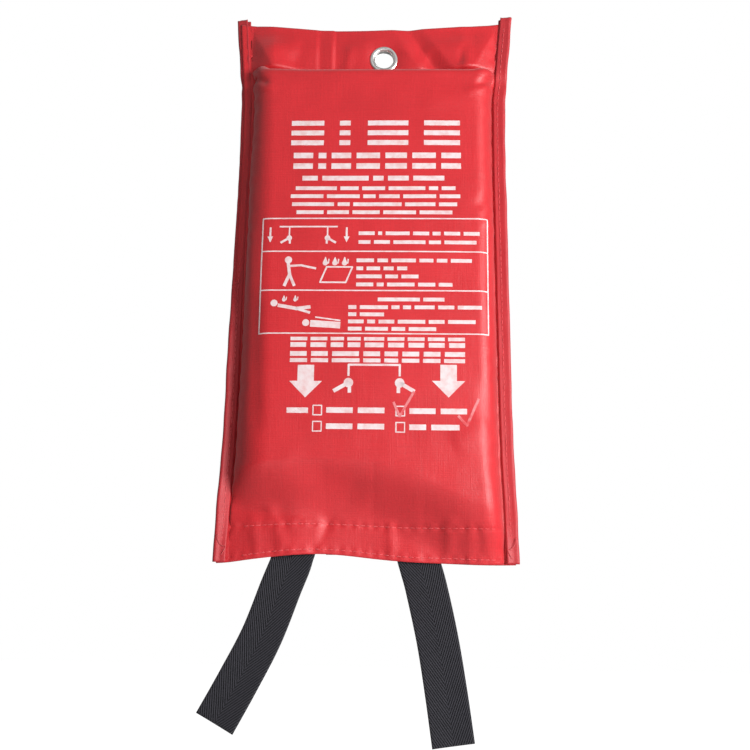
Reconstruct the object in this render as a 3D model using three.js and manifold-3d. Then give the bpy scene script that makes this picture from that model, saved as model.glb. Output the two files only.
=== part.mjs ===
// Fire blanket in a hanging fabric pouch. Units are millimetres, +Z is up and the front faces -Y.
// The origin is the centre of the hanging eyelet, between the two layers of the header.
import * as THREE from 'three';
import { mergeVertices } from 'three/addons/utils/BufferGeometryUtils.js';
import Module from 'manifold-3d';

const wasm = await Module();
wasm.setup();

// Pouch outline
const EYELET_OFFSET = 7.5; // the eyelet sits right of the pouch's centre line
const HEADER_TOP = 21; // the header's top edge, at the centre line
const HEADER_CORNER_RISE = 5; // how much higher the top edge is at the sides
const EAR_TOP = 30; // the side bindings' upper ends
const FOLD_Z = -10.5; // where the front leaves the header and runs over the pack
const MOUTH_EDGE = -330;
const HEM_LINE = -310; // the upper row of stitches of the mouth's hem
const BINDING_WIDTH = 9;
const BINDING_BOTTOM = -329;
const SELVEDGE = 1.8; // from a binding's outer edge to the edges of the panels inside it

// Fabric
const FABRIC = 0.6;
const GAP = 0.3; // clearance between pieces that touch
const FRONT_MID = -(GAP / 2 + FABRIC / 2); // middle of the front layer where it lies on the back
const BACK_FRONT_FACE = GAP / 2;
const BACK_REAR_FACE = BACK_FRONT_FACE + FABRIC;
const PRESSED_PAD = 0.3; // how far the pack presses the back's middle towards the wall
const PAD_INSET = 4; // from the side seams to the pressed middle
const PAD_ABOVE_HEM = 6; // from the hem line to the pressed middle
const THREAD = 0.4;
const THREAD_WIDTH = 0.6;
const ROUND_SIDES = 32; // facets round the eyelet

// Folded blanket
const LEAF = 3.3; // eight layers of cloth
const LEAF_PITCH = LEAF + GAP;
const FIRST_LEAF = -(GAP / 2 + LEAF / 2); // middle of the leaf next to the back panel
const PACK_TOP = -15.5;
const PACK_BOTTOM = -293;
const PACK_HALF_WIDTH = 76; // two stacks side by side, each folded to a sixteenth of the cloth's width
const SHORT_LEAF_TOP = -213; // the far edge's short leaf ends here
const LEAF_SHIFT = 8; // height over which the other leaves lean out past the short leaf
const FRONT_LEAF_SLOT = 4;
const PACK_FRONT = FIRST_LEAF - FRONT_LEAF_SLOT * LEAF_PITCH - LEAF / 2;
const BLANKET_HEM = 5; // from the cloth's edge to its hem stitches
const CUT_MARGIN = 1; // how far a cutting shape reaches past what it cuts
const BEND_STEPS = 6;

// Front bulge over the pack
const DOME_BOTTOM = -18; // the front turns over the pack's top end above this
const DOME_HEIGHT = FOLD_Z - DOME_BOTTOM;
const BULGE_KNEE = -228;
const DEPTH_TOP = 15.6;
const DEPTH_LOW = 20.4;
const EDGE_RADIUS = 12; // width of the bulge's rounded sides
const PACK_INSET = 1.6; // how much shallower the pack is than the bulge's middle surface
const FLAP_TOP = -294.3;

// Mouth
const PATCH_CENTRE = -6;
const PATCH_WIDTH = 36;
const PATCH_TOP = -313;
const PATCH_BOTTOM = -326;
const LOOP_THICKNESS = 0.6;
const HOOK_THICKNESS = 0.6;

// Pull tapes
const TAPE_WIDTH = 25;
const TAPE = 1;
const SEWN_TOP = -240;
const TAPE_HINGE = -333; // the line each free end swings about, just below the mouth
const TAPE_MID = -1.2; // middle of the free ends, front to back
// the sewn ends' middle from the mouth up to the pack's lower end, as [y, z]
const SEWN_ROUTE = [[-1.4, -318], [-3.2, -311], [-8.2, -305], [-14.5, -299]];
const SEWN_TURN = 1.6; // how far below the pack a tape passes under it
const BOX_STITCH = { width: 19, top: -244, bottom: -284 };
// where each tape leaves the mouth, and its free end's later points as [sideways shift, height]
const LEFT_TAPE = { x: -44, route: [[-17, -374], [-43, -424]] };
const RIGHT_TAPE = { x: 32, route: [[11.5, -374], [21, -434]] };

// Eyelet
const EYELET = { bore: 6, barrel: 6.6, flange: 9.5, washer: 10, fabricHole: 7 };

const RED = { color: 0xc23038, roughness: 0.5, metalness: 0 };
const DARK_RED = { color: 0x9e2229, roughness: 0.6, metalness: 0 };
const RED_THREAD = { color: 0xc93a40, roughness: 0.7, metalness: 0 };
const NICKEL = { color: 0xc9c9c6, roughness: 0.22, metalness: 1 };
const BLACK = { color: 0x2b2b30, roughness: 0.85, metalness: 0 };
const GLASS_CLOTH = { color: 0xe6e3da, roughness: 0.8, metalness: 0 };
const WHITE_THREAD = { color: 0xf0eee8, roughness: 0.8, metalness: 0 };

// Half the pouch's width at each height: it draws in beside the pack and flares at both ends.
const sideOutline = new THREE.SplineCurve([
  new THREE.Vector2(-340, 92.9),
  new THREE.Vector2(-300, 91.7),
  new THREE.Vector2(-250, 89.6),
  new THREE.Vector2(-150, 88.2),
  new THREE.Vector2(-45, 87),
  new THREE.Vector2(-14, 88.8),
  new THREE.Vector2(31, 92.6),
]);
const OUTLINE_STEPS = 60;
const OUTLINE_SAMPLES = sideOutline.getPoints(OUTLINE_STEPS);

function halfWidth(z) {
  const next = OUTLINE_SAMPLES.findIndex((point) => point.x >= z);
  const low = OUTLINE_SAMPLES[next - 1];
  const high = OUTLINE_SAMPLES[next];
  return THREE.MathUtils.mapLinear(z, low.x, high.x, low.y, high.y);
}

const seamLine = (z) => halfWidth(z) - BINDING_WIDTH;
const headerEdge = (x) => HEADER_TOP + HEADER_CORNER_RISE * (x / halfWidth(HEADER_TOP)) ** 2;
const mix = THREE.MathUtils.lerp;

function piece(name, geometry, finish) {
  const material = new THREE.MeshStandardMaterial(finish);
  const mesh = new THREE.Mesh(geometry, material);
  mesh.name = name;
  return mesh;
}

function solidOf(geometry) {
  const bare = geometry.clone();
  bare.deleteAttribute('normal');
  bare.deleteAttribute('uv');
  const merged = mergeVertices(bare, 1e-4);
  const vertProperties = new Float32Array(merged.attributes.position.array);
  const triVerts = new Uint32Array(merged.index.array);
  return new wasm.Manifold(new wasm.Mesh({ numProp: 3, vertProperties, triVerts }));
}

function geometryOf(solid) {
  const mesh = solid.getMesh();
  const geometry = new THREE.BufferGeometry();
  geometry.setAttribute('position', new THREE.BufferAttribute(mesh.vertProperties, 3));
  geometry.setIndex(new THREE.BufferAttribute(mesh.triVerts, 1));
  return geometry;
}

// The way from front to back at a grid point, square to the sheet through its neighbours.
function backwards(grid, i, j) {
  const across = new THREE.Vector3().subVectors(
    grid[Math.min(i + 1, grid.length - 1)][j],
    grid[Math.max(i - 1, 0)][j],
  );
  const column = grid[i];
  const up = new THREE.Vector3().subVectors(
    column[Math.min(j + 1, column.length - 1)],
    column[Math.max(j - 1, 0)],
  );
  return up.cross(across).normalize();
}

// A closed sheet on a grid of points: grid[i][j] runs left to right, then bottom to top.
// front and back are the sheet's two faces, measured backwards from the grid.
function sheet(grid, front, back) {
  const columns = grid.length - 1;
  const rows = grid[0].length - 1;
  const geometry = new THREE.BoxGeometry(1, 1, 1, columns, 1, rows);
  const place = geometry.attributes.position;
  const backAt = typeof back === 'function' ? back : () => back;
  for (let n = 0; n < place.count; n += 1) {
    const i = Math.round((place.getX(n) + 0.5) * columns);
    const j = Math.round((place.getZ(n) + 0.5) * rows);
    const offset = place.getY(n) < 0 ? front : backAt(grid[i][j].z);
    const point = backwards(grid, i, j).multiplyScalar(offset).add(grid[i][j]);
    place.setXYZ(n, point.x, point.y, point.z);
  }
  return geometry;
}

function slab(left, right, front, back, bottom, top) {
  const geometry = new THREE.BoxGeometry(right - left, back - front, top - bottom);
  return geometry.translate((left + right) / 2, (front + back) / 2, (bottom + top) / 2);
}

// The bulge's section: flat over the pack, a quarter ellipse down each side, then the seam's flange.
const FLAT_SHARE = 0.4;
const ROUND_SHARE = 0.4;
const COLUMN_SHARE = 0.1;
const COLUMN_STEPS = 2 / COLUMN_SHARE;
const PACK_STEPS = 16;

function sectionPoint(share, z, depth, base) {
  const part = Math.abs(share);
  const seam = seamLine(z);
  const flat = seam - EDGE_RADIUS;
  const turn = THREE.MathUtils.clamp((part - FLAT_SHARE) / ROUND_SHARE, 0, 1) * (Math.PI / 2);
  const flange = Math.max(0, part - FLAT_SHARE - ROUND_SHARE) / (1 - FLAT_SHARE - ROUND_SHARE);
  const flatPart = flat * Math.min(1, part / FLAT_SHARE);
  const edge = EDGE_RADIUS * Math.sin(turn) + flange * (BINDING_WIDTH - SELVEDGE);
  const x = Math.sign(share) * (flatPart + edge);
  return new THREE.Vector3(x, base - depth * Math.cos(turn), z);
}

// The bulge is deepest over the short leaf and thins evenly from there to the pack's top.
function bulgeDepth(z) {
  const share = THREE.MathUtils.clamp((z - BULGE_KNEE) / (DOME_BOTTOM - BULGE_KNEE), 0, 1);
  return mix(DEPTH_LOW, DEPTH_TOP, share);
}

// Heights of the front panel's rows with the bulge's depth at each, from the flap up to the header.
function frontRows() {
  const rows = [{ z: FLAP_TOP + GAP, depth: DEPTH_LOW }];
  const bodySteps = 3;
  for (let k = 0; k < bodySteps; k += 1) {
    const z = mix(BULGE_KNEE, DOME_BOTTOM, k / bodySteps);
    rows.push({ z, depth: bulgeDepth(z) });
  }
  const domeSteps = 4;
  for (let k = 0; k <= domeSteps; k += 1) {
    const turn = (1 - k / domeSteps) * (Math.PI / 2);
    rows.push({ z: FOLD_Z - DOME_HEIGHT * (1 - Math.cos(turn)), depth: DEPTH_TOP * Math.sin(turn) });
  }
  const headerSteps = 3;
  for (let k = 1; k <= headerSteps; k += 1) {
    rows.push({ z: mix(FOLD_Z, HEADER_TOP, k / headerSteps), depth: 0 });
  }
  return rows;
}

function fabricHole() {
  const { fabricHole: radius, washer: length } = EYELET;
  const drill = new THREE.CylinderGeometry(radius, radius, length, ROUND_SIDES);
  return solidOf(drill.translate(EYELET_OFFSET, 0, 0));
}

function frontPanel() {
  const rows = frontRows();
  const grid = [];
  for (let i = 0; i <= COLUMN_STEPS; i += 1) {
    const share = (2 * i) / COLUMN_STEPS - 1;
    grid.push(rows.map(({ z, depth }) => sectionPoint(share, z, depth, FRONT_MID)));
    const topPoint = grid[i][rows.length - 1];
    topPoint.z = headerEdge(topPoint.x);
  }
  const cloth = solidOf(sheet(grid, -FABRIC / 2, FABRIC / 2));
  return piece('front_panel', geometryOf(cloth.subtract(fabricHole())), RED);
}

function backPanel() {
  const outline = new THREE.Shape();
  const steps = 10;
  const edge = (z) => halfWidth(z) - SELVEDGE;
  for (let k = 0; k <= steps; k += 1) {
    const z = mix(MOUTH_EDGE, HEADER_TOP + HEADER_CORNER_RISE, k / steps);
    outline.lineTo(edge(z), z);
  }
  for (let k = 1; k < steps; k += 1) {
    const x = edge(HEADER_TOP) * (1 - (2 * k) / steps);
    outline.lineTo(x, headerEdge(x));
  }
  for (let k = steps; k >= 0; k -= 1) {
    const z = mix(MOUTH_EDGE, HEADER_TOP + HEADER_CORNER_RISE, k / steps);
    outline.lineTo(-edge(z), z);
  }
  outline.curves.shift();
  const flat = new THREE.ExtrudeGeometry(outline, { depth: FABRIC, bevelEnabled: false });
  flat.rotateX(Math.PI / 2).translate(0, BACK_REAR_FACE, 0);
  const padSide = seamLine(DOME_BOTTOM) - PAD_INSET;
  const padBottom = HEM_LINE + PAD_ABOVE_HEM;
  const padRear = BACK_REAR_FACE + PRESSED_PAD;
  const pad = slab(-padSide, padSide, BACK_FRONT_FACE + GAP, padRear, padBottom, DOME_BOTTOM);
  const cloth = solidOf(flat).add(solidOf(pad)).subtract(fabricHole());
  return piece('back_panel', geometryOf(cloth), RED);
}

// A folded strip over each side seam, open inwards, following the pouch's outline.
function sideBinding(name, side) {
  const inner = -BINDING_WIDTH;
  const frontInner = inner + SELVEDGE; // clear of the bulge's side
  const faceInside = BACK_REAR_FACE + GAP;
  const faceOutside = faceInside + FABRIC;
  const section = new THREE.Shape(
    [
      [frontInner, -faceOutside],
      [0, -faceOutside],
      [0, faceOutside],
      [inner, faceOutside],
      [inner, faceInside],
      [-FABRIC, faceInside],
      [-FABRIC, -faceInside],
      [frontInner, -faceInside],
    ].map(([x, y]) => new THREE.Vector2(side * x, y)),
  );
  return piece(name, alongSide(section, side, BINDING_BOTTOM, EAR_TOP), DARK_RED);
}

const SIDE_STEPS = 12;
const SEAM_THREAD_INSET = 4; // from the binding's lower end to the first stitch

function alongSide(section, side, bottom, top) {
  const options = { depth: top - bottom, steps: SIDE_STEPS, bevelEnabled: false };
  const geometry = new THREE.ExtrudeGeometry(section, options).translate(0, 0, bottom);
  const place = geometry.attributes.position;
  for (let n = 0; n < place.count; n += 1) {
    place.setX(n, place.getX(n) + side * halfWidth(place.getZ(n)));
  }
  return geometry;
}

function seamThread(name, side) {
  const rear = -(BACK_REAR_FACE + GAP + FABRIC + GAP);
  const middle = -BINDING_WIDTH / 2;
  const section = new THREE.Shape(
    [
      [middle - THREAD_WIDTH / 2, rear - THREAD],
      [middle + THREAD_WIDTH / 2, rear - THREAD],
      [middle + THREAD_WIDTH / 2, rear],
      [middle - THREAD_WIDTH / 2, rear],
    ].map(([x, y]) => new THREE.Vector2(side * x, y)),
  );
  const bottom = BINDING_BOTTOM + SEAM_THREAD_INSET;
  return piece(name, alongSide(section, side, bottom, HEADER_TOP), RED_THREAD);
}

// The eyelet's flange and barrel turn about Y, with the barrel's end rolled over the washer behind.
// Its profile goes from the bore round the flange's bead, then back along the barrel to the roll.
function eyelet() {
  const front = -(BACK_REAR_FACE + GAP);
  const rear = BACK_REAR_FACE + 2 * GAP + FABRIC + GAP;
  const profile = [
    [EYELET.bore, rear + 0.2],
    [EYELET.bore, front - 0.6],
    [EYELET.bore + 0.6, front - 1.2],
    [EYELET.bore + 1.8, front - 1.4],
    [EYELET.flange - 0.6, front - 0.9],
    [EYELET.flange, front - 0.2],
    [EYELET.flange - 0.3, front],
    [EYELET.barrel, front],
    [EYELET.barrel, rear],
    [EYELET.barrel + 1.6, rear],
    [EYELET.barrel + 1.8, rear + 0.3],
    [EYELET.barrel + 1.2, rear + 0.7],
    [EYELET.bore + 0.4, rear + 0.6],
    [EYELET.bore, rear + 0.2],
  ].map(([radius, y]) => new THREE.Vector2(radius, y));
  return piece('eyelet', new THREE.LatheGeometry(profile, ROUND_SIDES), NICKEL);
}

function eyeletWasher() {
  const front = BACK_REAR_FACE + GAP;
  const rear = front + FABRIC;
  const profile = [
    [EYELET.barrel + GAP, front],
    [EYELET.washer, front],
    [EYELET.washer, rear],
    [EYELET.barrel + GAP, rear],
    [EYELET.barrel + GAP, front],
  ].map(([radius, y]) => new THREE.Vector2(radius, y));
  return piece('eyelet_washer', new THREE.LatheGeometry(profile, ROUND_SIDES), NICKEL);
}

// The flap over the mouth, below the pack: a steep slope down to a flat hem.
const flapProfile = new THREE.SplineCurve([
  new THREE.Vector2(MOUTH_EDGE, -3),
  new THREE.Vector2(-318, -3.6),
  new THREE.Vector2(HEM_LINE, -6.5),
  new THREE.Vector2(-305, -12),
  new THREE.Vector2(-300, -17.2),
  new THREE.Vector2(FLAP_TOP, FRONT_MID - DEPTH_LOW),
]);
const FLAP_STEPS = 80;
const FLAP_SAMPLES = flapProfile.getPoints(FLAP_STEPS);
const ROUNDING = 1e-9;

function flapMiddle(z) {
  const next = Math.max(1, FLAP_SAMPLES.findIndex((point) => point.x >= z - ROUNDING));
  const low = FLAP_SAMPLES[next - 1];
  const high = FLAP_SAMPLES[next];
  return THREE.MathUtils.mapLinear(z, low.x, high.x, low.y, high.y);
}

const FLAP_REACH = 0.99; // the flap stops just short of the side seams
const HEM_OFF_BACK = 1; // how far the flap's sides stand off the back below the hem line

function flapGrid(heights, sideShare) {
  const grid = [];
  const steps = Math.round((2 * sideShare) / COLUMN_SHARE);
  for (let i = 0; i <= steps; i += 1) {
    const share = ((2 * i) / steps - 1) * sideShare;
    grid.push(heights.map((z) => {
      const base = z > HEM_LINE ? FRONT_MID : FRONT_MID - HEM_OFF_BACK;
      const point = sectionPoint(share, z, base - flapMiddle(z), base);
      point.x *= FLAP_REACH;
      return point;
    }));
  }
  return grid;
}

const HEM_STEP = 0.5; // half the height over which the hem goes from double to single cloth

function frontHem() {
  const turnedUpRows = [MOUTH_EDGE, -320, PATCH_TOP, HEM_LINE - HEM_STEP];
  const singleRows = [HEM_LINE + HEM_STEP, -305, -300, FLAP_TOP];
  const turnedUp = (z) => (z < HEM_LINE ? FABRIC * 1.5 : FABRIC / 2);
  const grid = flapGrid([...turnedUpRows, ...singleRows], FLAT_SHARE + ROUND_SHARE);
  return piece('front_hem', sheet(grid, -FABRIC / 2, turnedUp), RED);
}

function hemThread(name, z) {
  const grid = flapGrid([z - THREAD_WIDTH / 2, z + THREAD_WIDTH / 2], FLAT_SHARE + ROUND_SHARE / 2);
  const near = -(FABRIC / 2 + 2 * GAP);
  return piece(name, sheet(grid, near - THREAD, near), RED_THREAD);
}

const THREAD_INSET = 2; // how far a hem's stitches stop short of what bounds them

function backHemThread() {
  const side = seamLine(HEM_LINE) - THREAD_INSET;
  const front = BACK_REAR_FACE + GAP;
  const strip = slab(-side, side, front, front + THREAD, HEM_LINE - THREAD_WIDTH, HEM_LINE);
  return piece('back_hem_thread', strip, RED_THREAD);
}

function patchSpan() {
  return [PATCH_CENTRE - PATCH_WIDTH / 2, PATCH_CENTRE + PATCH_WIDTH / 2];
}

function loopPatch() {
  const [left, right] = patchSpan();
  const rear = BACK_FRONT_FACE - GAP;
  const plate = slab(left, right, rear - LOOP_THICKNESS, rear, PATCH_BOTTOM, PATCH_TOP);
  return piece('loop_patch', plate, DARK_RED);
}

function hookPatch() {
  const heights = [PATCH_BOTTOM, (PATCH_BOTTOM + PATCH_TOP) / 2, PATCH_TOP];
  const grid = patchSpan().map((x) => heights.map((z) => new THREE.Vector3(x, flapMiddle(z), z)));
  const near = FABRIC * 1.5 + GAP;
  return piece('hook_patch', sheet(grid, near, near + HOOK_THICKNESS), DARK_RED);
}

// The cloth's path in the Y-Z plane: one short leaf, then four full ones in a zigzag to the front.
function leafPath() {
  const bend = LEAF_PITCH / 2;
  const lowBend = PACK_BOTTOM + bend + LEAF / 2;
  const highBend = PACK_TOP - bend - LEAF / 2;
  const slot = (k) => FIRST_LEAF - k * LEAF_PITCH;
  const points = [new THREE.Vector2(slot(0), SHORT_LEAF_TOP)];
  const addBend = (from, centreZ, way) => {
    for (let k = 0; k <= BEND_STEPS; k += 1) {
      const turn = (k / BEND_STEPS) * Math.PI;
      const y = slot(from) - bend + bend * Math.cos(turn);
      points.push(new THREE.Vector2(y, centreZ + way * bend * Math.sin(turn)));
    }
  };
  const lean = (low, goingUp) => {
    const pair = [
      new THREE.Vector2(slot(low), SHORT_LEAF_TOP + LEAF_SHIFT / 2),
      new THREE.Vector2(slot(low - 1), SHORT_LEAF_TOP + 2 * LEAF_SHIFT),
    ];
    points.push(...(goingUp ? pair : pair.reverse()));
  };
  for (let k = 0; k < FRONT_LEAF_SLOT; k += 2) {
    addBend(k, lowBend, -1);
    lean(k + 1, true);
    addBend(k, highBend, 1);
    lean(k + 2, false);
  }
  points.push(new THREE.Vector2(slot(FRONT_LEAF_SLOT), PACK_BOTTOM));
  return points;
}

function ribbonOutline(path, thickness) {
  const near = [];
  const far = [];
  path.forEach((point, n) => {
    const ahead = path[Math.min(n + 1, path.length - 1)];
    const behind = path[Math.max(n - 1, 0)];
    const along = new THREE.Vector2().subVectors(ahead, behind).normalize();
    const square = new THREE.Vector2(-along.y, along.x).multiplyScalar(thickness / 2);
    near.push(point.clone().add(square));
    far.unshift(point.clone().sub(square));
  });
  return new THREE.Shape([...near, ...far]);
}

// The room inside the bulge: the stack of leaves is cut to it, so its long edges are rounded.
function packRoom() {
  const heights = [PACK_BOTTOM - CUT_MARGIN, BULGE_KNEE, PACK_TOP + CUT_MARGIN];
  const rear = FIRST_LEAF + LEAF / 2;
  const geometry = new THREE.BoxGeometry(1, 1, 1, PACK_STEPS, 1, heights.length - 1);
  const place = geometry.attributes.position;
  for (let n = 0; n < place.count; n += 1) {
    const share = 2 * place.getX(n) * (FLAT_SHARE + ROUND_SHARE);
    const z = heights[Math.round((place.getZ(n) + 0.5) * (heights.length - 1))];
    const point = sectionPoint(share, z, bulgeDepth(z) - PACK_INSET, rear);
    const y = place.getY(n) < 0 ? point.y : rear + LEAF;
    place.setXYZ(n, (point.x * PACK_HALF_WIDTH) / seamLine(z), y, z);
  }
  return solidOf(geometry);
}

function foldedBlanket() {
  const width = 2 * (PACK_HALF_WIDTH + CUT_MARGIN);
  const options = { depth: width, bevelEnabled: false };
  const ribbon = new THREE.ExtrudeGeometry(ribbonOutline(leafPath(), LEAF), options);
  // the outline is drawn in (y, z): its extrusion is turned to run along X
  ribbon.rotateX(Math.PI / 2).rotateZ(Math.PI / 2).translate(-width / 2, 0, 0);
  return piece('folded_blanket', geometryOf(solidOf(ribbon).intersect(packRoom())), GLASS_CLOTH);
}

function blanketHemThread() {
  const rear = PACK_FRONT - GAP;
  const left = LEFT_TAPE.x + TAPE_WIDTH / 2 + THREAD_INSET;
  const right = RIGHT_TAPE.x - TAPE_WIDTH / 2 - THREAD_INSET;
  const z = PACK_BOTTOM + BLANKET_HEM;
  const strip = slab(left, right, rear - THREAD, rear, z, z + THREAD_WIDTH);
  return piece('blanket_hem_thread', strip, WHITE_THREAD);
}

// Each tape's sewn end lies on the front leaf, turns under it and runs out through the mouth.
function sewnEnd(name, x) {
  const face = PACK_FRONT - GAP - TAPE / 2;
  const path = [
    [TAPE_MID, TAPE_HINGE + TAPE / 2 + GAP],
    ...SEWN_ROUTE,
    [face, PACK_BOTTOM - SEWN_TURN],
    [face, SEWN_TOP],
  ];
  const sides = [x - TAPE_WIDTH / 2, x + TAPE_WIDTH / 2];
  const grid = sides.map((edge) => path.map(([y, z]) => new THREE.Vector3(edge, y, z)));
  return piece(name, sheet(grid, -TAPE / 2, TAPE / 2), BLACK);
}

// The visible end of a tape: a flat strip that leaves the mouth at one angle and ends at another.
// Its upper end is rounded about the line that it swings on.
function freeEnd(name, x, route) {
  const middle = new THREE.CatmullRomCurve3(
    [[0, TAPE_HINGE], ...route].map(([dx, z]) => new THREE.Vector3(x + dx, TAPE_MID, z)),
  );
  const steps = 6;
  const grid = [[], []];
  for (let k = 0; k <= steps; k += 1) {
    const share = 1 - k / steps;
    const along = middle.getTangentAt(share);
    const across = k === steps ? new THREE.Vector3(1, 0, 0) : new THREE.Vector3(-along.z, 0, along.x);
    const point = middle.getPointAt(share);
    grid[0].push(point.clone().addScaledVector(across, -TAPE_WIDTH / 2));
    grid[1].push(point.clone().addScaledVector(across, TAPE_WIDTH / 2));
  }
  const nose = new THREE.CylinderGeometry(TAPE / 2, TAPE / 2, TAPE_WIDTH, ROUND_SIDES);
  nose.rotateZ(Math.PI / 2).translate(x, TAPE_MID, TAPE_HINGE);
  const strip = solidOf(sheet(grid, -TAPE / 2, TAPE / 2)).add(solidOf(nose));
  return piece(name, geometryOf(strip), BLACK);
}

const WINDOW_INSET = 2.2; // from a window's corner to the stitch lines' crossing, in thread widths

// One thread round a box with both diagonals, as one flat figure.
function boxStitch(name, x) {
  const { width, top, bottom } = BOX_STITCH;
  const rear = PACK_FRONT - 2 * GAP - TAPE;
  const halfHeight = (top - bottom) / 2;
  const corners = [[-1, -1], [1, -1], [1, 1], [-1, 1]];
  const figure = new THREE.Shape(
    corners.map(([a, b]) => new THREE.Vector2((a * width) / 2, b * halfHeight)),
  );
  const inset = THREAD_WIDTH * WINDOW_INSET;
  corners.forEach(([a, b], n) => {
    const [c, d] = corners[(n + 1) % 4];
    const middle = new THREE.Vector2(((a + c) * width) / 4, ((b + d) * halfHeight) / 2);
    const window = [
      [(a * width) / 2, b * halfHeight],
      [(c * width) / 2, d * halfHeight],
      [0, 0],
    ].map(([u, v]) => {
      const point = new THREE.Vector2(u, v);
      const centre = middle.clone().multiplyScalar(2 / 3);
      const pull = new THREE.Vector2().subVectors(centre, point).normalize();
      return point.addScaledVector(pull, inset);
    });
    figure.holes.push(new THREE.Path(window));
  });
  const flat = new THREE.ExtrudeGeometry(figure, { depth: THREAD, bevelEnabled: false });
  flat.rotateX(Math.PI / 2).translate(x, rear, (top + bottom) / 2);
  return piece(name, flat, WHITE_THREAD);
}

const group = new THREE.Group();

const hanger = new THREE.Group();
hanger.add(eyelet(), eyeletWasher());

const pouch = new THREE.Group();
pouch.position.x = -EYELET_OFFSET;
pouch.add(
  backPanel(),
  frontPanel(),
  sideBinding('left_side_binding', -1),
  sideBinding('right_side_binding', 1),
  seamThread('left_seam_thread', -1),
  seamThread('right_seam_thread', 1),
  backHemThread(),
  loopPatch(),
  frontHem(),
  hemThread('upper_hem_thread', HEM_LINE - 2),
  hemThread('lower_hem_thread', MOUTH_EDGE + 3),
  hookPatch(),
  foldedBlanket(),
  blanketHemThread(),
  sewnEnd('left_tape_sewn_end', LEFT_TAPE.x),
  sewnEnd('right_tape_sewn_end', RIGHT_TAPE.x),
  boxStitch('left_box_stitch', LEFT_TAPE.x),
  boxStitch('right_box_stitch', RIGHT_TAPE.x),
  freeEnd('left_pull_tape', LEFT_TAPE.x, LEFT_TAPE.route),
  freeEnd('right_pull_tape', RIGHT_TAPE.x, RIGHT_TAPE.route),
);
group.add(hanger, pouch);

export default group;
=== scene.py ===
"""A fire blanket in its hanging fabric pouch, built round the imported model.

Lengths in this script are millimetres until a mesh is made. x is measured from the pouch's centre line,
y is depth (negative towards the front) and z is height from the eyelet's centre.
"""

import math

import bpy
import numpy as np
from mathutils import Matrix, Vector


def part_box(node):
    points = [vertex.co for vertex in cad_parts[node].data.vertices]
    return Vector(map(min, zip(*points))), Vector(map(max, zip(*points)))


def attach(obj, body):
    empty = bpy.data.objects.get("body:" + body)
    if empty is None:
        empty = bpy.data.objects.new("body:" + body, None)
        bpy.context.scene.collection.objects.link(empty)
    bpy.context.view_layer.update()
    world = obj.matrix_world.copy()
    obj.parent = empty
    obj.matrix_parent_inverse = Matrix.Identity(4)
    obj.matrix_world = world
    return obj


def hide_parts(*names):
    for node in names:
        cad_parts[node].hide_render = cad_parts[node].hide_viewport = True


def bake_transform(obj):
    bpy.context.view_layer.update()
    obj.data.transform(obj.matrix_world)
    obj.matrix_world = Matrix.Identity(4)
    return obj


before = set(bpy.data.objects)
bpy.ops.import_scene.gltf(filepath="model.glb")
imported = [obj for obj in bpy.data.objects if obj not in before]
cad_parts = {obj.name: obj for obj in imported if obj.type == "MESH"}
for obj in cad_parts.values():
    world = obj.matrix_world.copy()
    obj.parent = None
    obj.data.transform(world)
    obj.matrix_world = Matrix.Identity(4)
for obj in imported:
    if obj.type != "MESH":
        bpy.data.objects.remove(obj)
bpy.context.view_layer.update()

MM = 0.001


# ------------ sizes taken from the frame
def box_mm(node):
    low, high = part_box(node)
    return np.array(low) / MM, np.array(high) / MM


back_low, back_high = box_mm("back_panel")
hem_low, hem_high = box_mm("front_hem")
pack_low, pack_high = box_mm("folded_blanket")
binding_low, binding_high = box_mm("right_side_binding")
flange_low, flange_high = box_mm("eyelet")

CENTRE = (back_low[0] + back_high[0]) / 2
MOUTH = hem_low[2]
EAR = binding_high[2]
BINDING = 9.0
FABRIC = 0.6
EYELET_X = -CENTRE
PACK_TOP = pack_high[2]
PACK_BOTTOM = pack_low[2]
PACK_FRONT = pack_low[1]
PACK_HALF = (pack_high[0] - pack_low[0]) / 2


def outline_of(node):
    """Heights of a CAD strip's corners and its outermost distance from the centre line at each."""
    points = np.array([v.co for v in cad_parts[node].data.vertices]) / MM
    heights = np.unique(np.round(points[:, 2], 2))
    reach = [np.max(points[np.abs(points[:, 2] - h) < 0.02, 0]) - CENTRE for h in heights]
    return heights, np.array(reach)


EDGE_Z, EDGE_X = outline_of("right_side_binding")


def half_width(z):
    return np.interp(z, EDGE_Z, EDGE_X)


def seam(z):
    return half_width(z) - BINDING


def smooth(t):
    t = np.clip(t, 0.0, 1.0)
    return t * t * (3 - 2 * t)


def bell(distance, width):
    return np.exp(-((distance / width) ** 2))


def soft_noise(x, z, scale, seed):
    """A gentle, repeatable unevenness between -1 and 1, made of a few crossing waves."""
    total = np.zeros_like(np.asarray(x, float) + np.asarray(z, float))
    rng = np.random.default_rng(seed)
    for _ in range(6):
        turn, phase = rng.uniform(0, 2 * math.pi, 2)
        length = scale * rng.uniform(0.7, 1.6)
        total += np.sin((x * math.cos(turn) + z * math.sin(turn)) * 2 * math.pi / length + phase)
    return total / 6


# ------------ mesh helpers
def make_piece(name, points, faces, uv, material, body):
    """A mesh from points in pouch millimetres, riding on a CAD body. uv holds one pair for each point."""
    placed = (np.asarray(points, float) + np.array([CENTRE, 0, 0])) * MM
    mesh = bpy.data.meshes.new(name)
    mesh.from_pydata(placed.tolist(), [], faces if isinstance(faces, list) else faces.tolist())
    mesh.polygons.foreach_set("use_smooth", np.ones(len(mesh.polygons), bool))
    if uv is not None:
        corner = np.zeros(len(mesh.loops), int)
        mesh.loops.foreach_get("vertex_index", corner)
        layer = mesh.uv_layers.new(name="cloth")
        layer.data.foreach_set("uv", np.asarray(uv, float)[corner].ravel())
    mesh.materials.append(material)
    mesh.update()
    piece = bpy.data.objects.new(name, mesh)
    bpy.context.scene.collection.objects.link(piece)
    if body:
        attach(piece, body)
    return piece


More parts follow.
